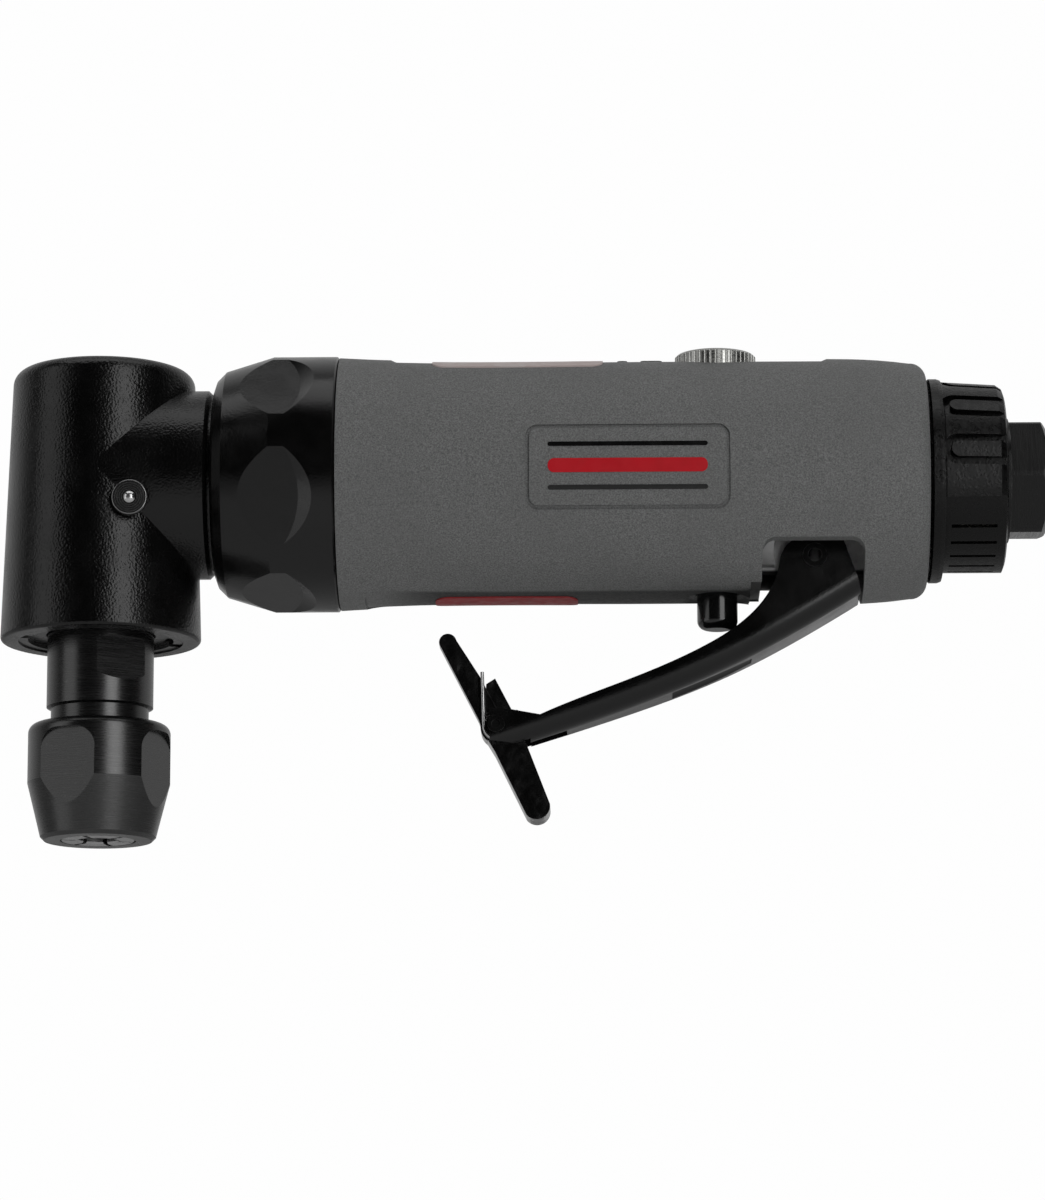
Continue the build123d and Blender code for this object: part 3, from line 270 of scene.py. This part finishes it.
def satin_paint(name="ring_black"):
    finish = Finish(name, grey(0.0025), roughness=0.20)
    finish.vary_roughness(finish.noise(5 * MM), spread=0.04)
    finish.worn_edges(0.3 * MM, grey(0.03), amount=0.5)
    finish.bump(finish.noise(0.35 * MM, detail=2.0), depth=0.025 * MM, strength=0.8)
    return finish.bump(finish.noise(4 * MM, detail=1.0), depth=0.05 * MM, strength=0.4)


def gloss_paint(name="safety_black"):
    finish = Finish(name, grey(0.003), roughness=0.22, coat=0.4, coat_roughness=0.10)
    finish.vary_roughness(finish.noise(3 * MM), spread=0.05)
    finish.worn_edges(0.30 * MM, grey(0.07), amount=0.7)
    finish.bump(finish.noise(2.2 * MM, detail=1.0), depth=0.22 * MM, strength=0.9)
    return finish.bump(finish.noise(0.5 * MM, detail=2.0), depth=0.03 * MM, strength=0.7)


def black_oxide(name, axis, color=grey(0.085), roughness=0.27):
    """Blackened steel with turning marks round one axis."""
    finish = Finish(name, color, roughness, metallic=0.95, shine=0.4)
    lines = finish.lathe_lines(axis)
    finish.vary_roughness(lines, spread=0.04)
    finish.tint_where(lines, 0.50, 0.75, amount=0.25, color=scaled(color, 1.5))
    finish.tint_where(finish.noise(0.6 * MM, detail=4.0), 0.62, 0.75, amount=0.35, color=scaled(color, 1.8))
    finish.worn_edges(0.25 * MM, grey(0.16), amount=0.5)
    finish.bump(finish.noise(0.25 * MM, detail=2.0), depth=0.006 * MM, strength=0.6)
    return finish.bump(lines, depth=0.007 * MM, strength=0.8)


def bright_steel(name, axis, color=grey(0.62), roughness=0.24):
    """Bare metal with turning marks round one axis and slightly darker clouds."""
    finish = Finish(name, color, roughness, metallic=1.0)
    lines = finish.lathe_lines(axis)
    finish.vary_roughness(lines, spread=0.08)
    finish.tint_where(finish.noise(2.5 * MM, detail=4.0), 0.55, 0.8, amount=0.5, color=scaled(color, 0.7))
    return finish.bump(lines, depth=0.006 * MM, strength=0.6)


def fitting_steel(name="fitting_steel"):
    """Dark plated steel with turned rings on its face."""
    low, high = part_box("grease_fitting")
    finish = Finish(name, grey(0.10), roughness=0.22, metallic=0.9)
    rings = finish.turned_rings((low + high) / 2, pitch=0.35 * MM)
    finish.tint_where(rings, 0.5, 0.8, amount=0.8, color=grey(0.35))
    return finish.bump(rings, depth=0.02 * MM, strength=0.8)


def blasted_aluminium(name="cast_aluminium"):
    """Blasted casting, with painted shade at the bottom of the lever's window."""
    finish = Finish(name, grey(0.42), roughness=0.55, metallic=0.9)
    finish.vary_roughness(finish.noise(2 * MM), spread=0.1)
    finish.tint_where(finish.noise(1.5 * MM), 0.5, 0.8, amount=0.5, color=grey(0.25))
    # Painted shade: the casting turns nearly black below this height, where the lever's pocket lies in
    # shadow.
    finish.tint(finish.ramp(Z, *heights(CASTING_PAINTED_SHADE_DEPTHS)), grey(0.008))
    return finish.bump(finish.noise(0.25 * MM, detail=2.0), depth=0.05 * MM, strength=0.8)


def grip_composite(name="grip_grey"):
    """Speckled grey composite with fine grains and painted shade on its downward-facing lower band."""
    finish = Finish(name, (0.172, 0.175, 0.173), roughness=0.55, shine=0.3)
    finish.vary_roughness(finish.noise(0.5 * MM), spread=0.08)
    speckle = finish.noise(0.22 * MM)
    finish.tint_where(speckle, 0.45, 0.70, amount=0.8, color=(0.260, 0.263, 0.261))
    finish.tint_where(speckle, 0.50, 0.32, amount=0.7, color=(0.098, 0.100, 0.099))
    clouds = finish.noise(14 * MM, detail=2.0)
    finish.tint_where(clouds, 0.4, 0.7, amount=0.25, color=(0.145, 0.147, 0.146))
    # Painted shade on the grip's lower band, which faces down.
    painted_lower_shade = finish.product(finish.ramp(Z, *heights(GRIP_PAINTED_SHADE_DEPTHS)),
                                finish.ramp(X, *GRIP_PAINTED_SHADE_FRONT), finish.ramp(X, *GRIP_PAINTED_SHADE_BACK))
    finish.tint(painted_lower_shade, (0.050, 0.051, 0.050))
    finish.worn_edges(0.3 * MM, grey(0.19), amount=0.35)
    finish.bump(finish.grains(0.55 * MM), depth=0.05 * MM, strength=0.5)
    return finish.bump(speckle, depth=0.05 * MM, strength=0.7)


def pebbled_plastic(name="deflector_black"):
    finish = Finish(name, grey(0.003), roughness=0.31, shine=0.27)
    finish.vary_roughness(finish.noise(1.0 * MM), spread=0.08)
    finish.worn_edges(0.25 * MM, grey(0.05), amount=0.4)
    return finish.bump(finish.noise(0.40 * MM), depth=0.06 * MM, strength=0.9)


def gloss_plastic(name="button_black"):
    finish = Finish(name, grey(0.006), roughness=0.16, coat=0.4, coat_roughness=0.1)
    finish.vary_roughness(finish.noise(2 * MM), spread=0.04)
    return finish.bump(finish.noise(1.5 * MM, detail=2.0), depth=0.01 * MM, strength=0.4)


def printed(name, color, faded):
    """Printed film: slightly faded ink with a fine grain."""
    finish = Finish(name, color, roughness=0.42, shine=0.2)
    finish.vary_roughness(finish.noise(1.5 * MM), spread=0.08)
    finish.tint_where(finish.noise(3.5 * MM, detail=4.0), 0.45, 0.75, amount=0.6, color=faded)
    return finish.bump(finish.noise(0.5 * MM, detail=2.0), depth=0.015 * MM, strength=0.5)


def plain_rubber(name="seal_rubber"):
    finish = Finish(name, grey(0.012), roughness=0.55)
    finish.vary_roughness(finish.noise(1 * MM), spread=0.1)
    return finish.bump(finish.noise(0.4 * MM), depth=0.02 * MM, strength=0.6)


def brass(name="brass"):
    return bright_steel(name, Z, (0.72, 0.50, 0.20), roughness=0.28)


def felt(name="felt"):
    finish = Finish(name, (0.46, 0.44, 0.38), roughness=0.95)
    finish.shader.inputs["Sheen Weight"].default_value = 0.6
    fibres = finish.noise(0.35 * MM, detail=5.0, place=finish.stretched((1.0, 0.25, 0.6)))
    finish.tint_where(fibres, 0.4, 0.7, amount=0.7, color=(0.30, 0.28, 0.24))
    return finish.bump(fibres, depth=0.2 * MM, strength=0.9)


def vane_composite(name="vane_composite"):
    finish = Finish(name, (0.20, 0.12, 0.055), roughness=0.5)
    cloth = finish.noise(0.5 * MM, detail=2.0, place=finish.stretched((0.3, 1.0, 1.0)))
    finish.tint_where(cloth, 0.45, 0.65, amount=0.6, color=(0.11, 0.065, 0.03))
    return finish.bump(cloth, depth=0.03 * MM, strength=0.6)


def bearing_nodes(*bearings):
    """Names of the races and the balls of each bearing."""
    return [f"{bearing}_bearing_{part}"
            for bearing in bearings
            for part in ("outer_race", "inner_race", "balls")]


def paint_nodes():
    """Give every CAD node its material."""
    race_color = (0.55, 0.55, 0.56)
    finishes = {
        pebbled_paint(): ["angle_head"],
        satin_paint(): ["clamp_ring"],
        satin_paint("lever_black"): ["throttle_lever"],
        gloss_paint(): ["safety_lever"],
        black_oxide("black_oxide_z", Z): ["spindle", "collet_nut", "bearing_cap"],
        black_oxide("black_oxide_x", X, grey(0.035)): ["inlet_bushing"],
        black_oxide("black_oxide_y", Y, grey(0.008), roughness=0.5): ["lever_pin"],
        black_oxide("black_oxide_rivet", Y, grey(0.02), roughness=0.3): ["safety_pin"],
        bright_steel("collet_steel", Z, grey(0.50), roughness=0.30): ["collet"],
        fitting_steel(): ["grease_fitting"],
        bright_steel("steel_turned_y", Y): ["grease_ball", "grease_spring", "safety_spring"],
        bright_steel("steel_turned_x", X): [
            "pinion_shaft", "rotor", "front_end_plate", "rear_end_plate", "cylinder", "cylinder_pin",
            "pinion_spacer", "head_snap_ring", "inlet_screen"],
        bright_steel("steel_turned_z", Z): ["spindle_gear", "valve_spring", "regulator_clip"],
        bright_steel("race_x", X, race_color, roughness=0.15): bearing_nodes("pinion", "rotor"),
        bright_steel("race_z", Z, race_color, roughness=0.15): bearing_nodes(
            "spindle_lower", "spindle_upper"),
        bright_steel("zinc", Z, (0.52, 0.52, 0.50), roughness=0.32): ["air_regulator"],
        blasted_aluminium(): ["motor_housing"],
        grip_composite(): ["grip_sleeve"],
        pebbled_plastic(): ["exhaust_deflector"],
        gloss_plastic(): ["valve_stem"],
        gloss_plastic("badge_black"): ["badge_lines"],
        printed("label_red", (0.36, 0.035, 0.04), faded=(0.24, 0.03, 0.03)): ["bottom_label"],
        printed("stripe_red", (0.62, 0.012, 0.022), faded=(0.52, 0.012, 0.018)): ["badge_stripe"],
        printed("label_white", (0.62, 0.52, 0.50), faded=(0.70, 0.66, 0.64)): ["top_label"],
        brass(): ["valve_bushing", "valve_seat"],
        plain_rubber(): ["valve_disc", "stem_oring", "regulator_oring", "deflector_oring"],
        felt(): ["muffler_felt"],
        vane_composite(): ["vanes"],
    }
    for finish, names in finishes.items():
        for name in names:
            NODES[name].data.materials.clear()
            NODES[name].data.materials.append(finish.material)


# ---------------------------------------------------------------- valve spring copy


def soft_valve_spring():
    """The valve spring's coils, in a copy on the housing's body that stands in for the hidden spring part.
    """
    node = NODES["valve_spring"]
    spring = bpy.data.objects.new("valve_spring_coils", node.data.copy())
    spring.matrix_world = node.matrix_world.copy()
    bpy.context.scene.collection.objects.link(spring)
    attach(spring, "housing")
    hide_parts("valve_spring")
    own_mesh(spring)


# ---------------------------------------------------------------- stage

CAMERA_TARGET = Vector((66.709 * MM, 0.0, AXIS_HEIGHT - 18.821 * MM))
CAMERA_AZIMUTH, CAMERA_ELEVATION, CAMERA_ROLL = (math.radians(angle) for angle in (1.045, -10.961, -0.106))
CAMERA_DISTANCE = 766.08 * MM
CAMERA_LENS, CAMERA_SENSOR = 145.3, 36.0  # millimetres, as Blender counts them
CAMERA_CLIP_START = 0.01

FLOOR_SIZE, FLOOR_MIDDLE_X, FLOOR_DROP = 6, 0.07, 0.22
FLOOR_TONE, FLOOR_ROUGHNESS, FLOOR_GLOW = 0.85, 0.9, 0.5

BACKDROP_TONE = 0.99
FRONT_AMBIENT, BACK_AMBIENT = 0.004, 0.5
FRONT_ENDS, BACK_BEGINS = -0.15, 0.6  # Y part of the direction the light comes from


def camera():
    """Long lens, 11 degrees below the motor's axis, looking at the -Y side."""
    data = bpy.data.cameras.new("camera")
    data.lens = CAMERA_LENS
    data.sensor_width = CAMERA_SENSOR
    data.clip_start = CAMERA_CLIP_START
    back = Vector((math.sin(CAMERA_AZIMUTH) * math.cos(CAMERA_ELEVATION),
                   -math.cos(CAMERA_AZIMUTH) * math.cos(CAMERA_ELEVATION), math.sin(CAMERA_ELEVATION)))
    camera_object = bpy.data.objects.new("camera", data)
    camera_object.location = CAMERA_TARGET + back * CAMERA_DISTANCE
    turn = back.to_track_quat("Z", "Y").to_matrix() @ Euler((0, 0, CAMERA_ROLL)).to_matrix()
    camera_object.rotation_euler = turn.to_euler()
    bpy.context.scene.collection.objects.link(camera_object)
    bpy.context.scene.camera = camera_object


def softbox(name, place, size, brightness):
    """Rectangular area light of a given radiance, aimed at the middle of the tool."""
    data = bpy.data.lights.new(name, "AREA")
    data.shape = "RECTANGLE"
    data.size, data.size_y = size
    data.energy = brightness * math.pi * size[0] * size[1]
    light = bpy.data.objects.new(name, data)
    light.location = place
    light.rotation_euler = (Vector(place) - CAMERA_TARGET).to_track_quat("Z", "Y").to_euler()
    bpy.context.scene.collection.objects.link(light)
    light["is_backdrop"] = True


def floor_material():
    """Pale from above, with a glow only the camera sees; clear from below."""
    material = bpy.data.materials.new("floor_pale")
    material.use_nodes = True
    nodes, links = material.node_tree.nodes, material.node_tree.links
    shader, output = nodes["Principled BSDF"], nodes["Material Output"]
    shader.inputs["Base Color"].default_value = (*grey(FLOOR_TONE), 1)
    shader.inputs["Roughness"].default_value = FLOOR_ROUGHNESS
    shader.inputs["Emission Color"].default_value = (1, 1, 1, 1)
    glow = nodes.new("ShaderNodeMath")
    glow.operation = "MULTIPLY"
    glow.inputs[1].default_value = FLOOR_GLOW
    links.new(nodes.new("ShaderNodeLightPath").outputs["Is Camera Ray"], glow.inputs[0])
    links.new(glow.outputs["Value"], shader.inputs["Emission Strength"])
    mix, clear, side = (nodes.new(f"ShaderNode{kind}")
                        for kind in ("MixShader", "BsdfTransparent", "NewGeometry"))
    links.new(side.outputs["Backfacing"], mix.inputs["Fac"])
    links.new(shader.outputs["BSDF"], mix.inputs[1])
    links.new(clear.outputs["BSDF"], mix.inputs[2])
    links.new(mix.outputs["Shader"], output.inputs["Surface"])
    return material


def floor():
    """Pale floor well below the tool, seen only from above so that a low camera looks through it."""
    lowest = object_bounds()[0][2]
    bpy.ops.mesh.primitive_plane_add(size=FLOOR_SIZE, location=(FLOOR_MIDDLE_X, 0, lowest - FLOOR_DROP))
    plane = bpy.context.object
    plane.name = "floor"
    plane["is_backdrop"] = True
    plane.data.materials.append(floor_material())


def world():
    """White backdrop for the camera; for the object it is dark in front and bright behind."""
    sky = bpy.data.worlds.new("studio")
    bpy.context.scene.world = sky
    sky.use_nodes = True
    nodes, links = sky.node_tree.nodes, sky.node_tree.links
    background = nodes["Background"]
    path = nodes.new("ShaderNodeLightPath")
    direction = nodes.new("ShaderNodeTexCoord")
    parts = nodes.new("ShaderNodeSeparateXYZ")
    links.new(direction.outputs["Generated"], parts.inputs["Vector"])
    behind = nodes.new("ShaderNodeMapRange")
    behind.interpolation_type = "SMOOTHSTEP"
    behind.inputs["From Min"].default_value = FRONT_ENDS
    behind.inputs["From Max"].default_value = BACK_BEGINS
    behind.inputs["To Min"].default_value = FRONT_AMBIENT
    behind.inputs["To Max"].default_value = BACK_AMBIENT
    links.new(parts.outputs["Y"], behind.inputs["Value"])
    mix = nodes.new("ShaderNodeMix")
    mix.data_type = "RGBA"
    links.new(behind.outputs["Result"], mix.inputs["A"])
    mix.inputs["B"].default_value = (*grey(BACKDROP_TONE), 1)
    links.new(path.outputs["Is Camera Ray"], mix.inputs["Factor"])
    links.new(mix.outputs["Result"], background.inputs["Color"])
    bpy.context.scene.view_settings.view_transform = "Standard"


def studio():
    world()
    floor()
    softbox("key_left", place=(-0.84, -0.42, 0.10), size=(0.55, 1.5), brightness=0.78)
    softbox("key_right", place=(0.52, -0.86, 0.12), size=(0.44, 1.5), brightness=2.3)
    softbox("top", place=(0.07, -0.15, 0.95), size=(1.2, 0.5), brightness=1.1)
    softbox("under", place=(0.07, 0.0, -0.30), size=(0.8, 0.4), brightness=0.32)
    camera()


paint_nodes()
soft_valve_spring()
studio()
